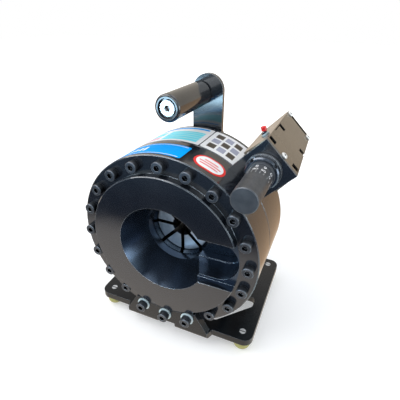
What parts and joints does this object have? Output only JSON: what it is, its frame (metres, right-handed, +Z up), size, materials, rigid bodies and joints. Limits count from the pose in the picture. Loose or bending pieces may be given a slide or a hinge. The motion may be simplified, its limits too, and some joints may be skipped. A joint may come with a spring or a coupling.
{
  "type": "hose crimping machine",
  "caption": "Hydraulic hose crimper: round cylinder with a conical front throat, side slot, cone-driven dies, size adjuster, carry handle and base plate on rubber feet.",
  "frame": {"origin": "centre of the hose bore in the rear face of the cylinder body", "axes": "+Y points to the rear along the crimping axis, +Z up, +X to the right seen from the front"},
  "size_m": [0.2398, 0.1955, 0.3105],
  "materials": {
    "gloss_black_metal": "gloss",
    "black_powder_coat": "satin",
    "black_screw_steel": "satin",
    "zinc_steel": "satin",
    "bright_steel": "satin",
    "die_steel": "satin",
    "shoe_steel": "satin",
    "piston_steel": "satin",
    "seal_rubber": "matte",
    "foot_elastomer": "gloss",
    "grip_plastic": "gloss",
    "knob_metal": "satin",
    "dark_polished_steel": "gloss",
    "housing_metal": "gloss",
    "switch_plastic": "matte",
    "plunger_plastic": "gloss",
    "cap_plastic": "gloss",
    "brass_insert": "satin"
  },
  "bodies": {
    "machine": {"front_cover": "gloss_black_metal", "cylinder_body": "gloss_black_metal", "cover_screws": "black_screw_steel", "tab_screws": "black_screw_steel", "tab_washers": "zinc_steel", "base_plate": "black_powder_coat", "rear_saddle": "black_powder_coat", "saddle_screws": "black_screw_steel", "rubber_feet": "foot_elastomer", "foot_studs": "zinc_steel", "handle_bracket": "gloss_black_metal", "handle_bolts": "black_screw_steel", "handle_washers": "zinc_steel", "handle_pin": "bright_steel", "handle_nut": "zinc_steel", "adjuster_bracket": "gloss_black_metal", "leg_screws": "black_screw_steel", "adjuster_bush": "knob_metal", "bright_washer": "bright_steel", "ring_nut": "dark_polished_steel", "housing_cover": "housing_metal", "housing_floor": "housing_metal", "housing_screws": "zinc_steel", "toggle_base": "bright_steel", "toggle_nut": "zinc_steel", "bleed_screw": "zinc_steel"},
    "piston": {"cone_piston": "piston_steel", "piston_seals": "seal_rubber", "follower_pin": "bright_steel"},
    "knob": {"adjuster_knob": "knob_metal", "adjuster_spindle": "bright_steel"},
    "carriage": {"switch_carriage": "brass_insert", "microswitch": "switch_plastic"},
    "plunger": {"switch_plunger": "plunger_plastic"},
    "toggle": {"toggle_lever": "bright_steel", "toggle_cap": "cap_plastic"},
    "grip": {"handle_grip": "grip_plastic"},
    "die_station_1": {"die_1": "die_steel", "die_shoe_1": "shoe_steel"},
    "die_station_2": {"die_2": "die_steel", "die_shoe_2": "shoe_steel"},
    "die_station_3": {"die_3": "die_steel", "die_shoe_3": "shoe_steel"},
    "die_station_4": {"die_4": "die_steel", "die_shoe_4": "shoe_steel"},
    "die_station_5": {"die_5": "die_steel", "die_shoe_5": "shoe_steel"},
    "die_station_6": {"die_6": "die_steel", "die_shoe_6": "shoe_steel"},
    "die_station_7": {"die_7": "die_steel", "die_shoe_7": "shoe_steel"},
    "die_station_8": {"die_8": "die_steel", "die_shoe_8": "shoe_steel"}
  },
  "joints": [
    {"name": "piston_slide", "type": "slide", "parent": "machine", "child": "piston", "axis": [0, -1, 0], "range_m": [0, 0.012]},
    {"name": "die_slide_1", "type": "slide", "parent": "machine", "child": "die_station_1", "axis": [-0.3827, 0, -0.9239], "range_m": [0, 0.0053]},
    {"name": "die_slide_2", "type": "slide", "parent": "machine", "child": "die_station_2", "axis": [-0.9239, 0, -0.3827], "range_m": [0, 0.0053]},
    {"name": "die_slide_3", "type": "slide", "parent": "machine", "child": "die_station_3", "axis": [-0.9239, 0, 0.3827], "range_m": [0, 0.0053]},
    {"name": "die_slide_4", "type": "slide", "parent": "machine", "child": "die_station_4", "axis": [-0.3827, 0, 0.9239], "range_m": [0, 0.0053]},
    {"name": "die_slide_5", "type": "slide", "parent": "machine", "child": "die_station_5", "axis": [0.3827, 0, 0.9239], "range_m": [0, 0.0053]},
    {"name": "die_slide_6", "type": "slide", "parent": "machine", "child": "die_station_6", "axis": [0.9239, 0, 0.3827], "range_m": [0, 0.0053]},
    {"name": "die_slide_7", "type": "slide", "parent": "machine", "child": "die_station_7", "axis": [0.9239, 0, -0.3827], "range_m": [0, 0.0053]},
    {"name": "die_slide_8", "type": "slide", "parent": "machine", "child": "die_station_8", "axis": [0.3827, 0, -0.9239], "range_m": [0, 0.0053]},
    {"name": "knob_turn", "type": "hinge", "parent": "machine", "child": "knob", "pos_m": [0.09617, -0.12, 0.09617], "axis": [0, -1, 0], "range_deg": [-720, 720]},
    {"name": "carriage_slide", "type": "slide", "parent": "machine", "child": "carriage", "axis": [0, 1, 0], "range_m": [-0.003, 0.003]},
    {"name": "plunger_press", "type": "slide", "parent": "carriage", "child": "plunger", "axis": [0, -1, 0], "range_m": [0, 0.001], "stiffness_N_per_m": 500},
    {"name": "toggle_flip", "type": "hinge", "parent": "machine", "child": "toggle", "pos_m": [0.08693, -0.042, 0.12423], "axis": [0, 1, 0], "range_deg": [-50, 0]},
    {"name": "grip_turn", "type": "hinge", "parent": "machine", "child": "grip", "pos_m": [-0.0045, -0.0428, 0.1502], "axis": [0, -1, 0], "continuous": true}
  ],
  "couplings": [
    {"joint": "die_slide_1", "follows": "piston_slide", "ratio": 0.44167},
    {"joint": "die_slide_2", "follows": "piston_slide", "ratio": 0.44167},
    {"joint": "die_slide_3", "follows": "piston_slide", "ratio": 0.44167},
    {"joint": "die_slide_4", "follows": "piston_slide", "ratio": 0.44167},
    {"joint": "die_slide_5", "follows": "piston_slide", "ratio": 0.44167},
    {"joint": "die_slide_6", "follows": "piston_slide", "ratio": 0.44167},
    {"joint": "die_slide_7", "follows": "piston_slide", "ratio": 0.44167},
    {"joint": "die_slide_8", "follows": "piston_slide", "ratio": 0.44167},
    {"joint": "carriage_slide", "follows": "knob_turn", "m_per_rad": 0.00023873}
  ]
}
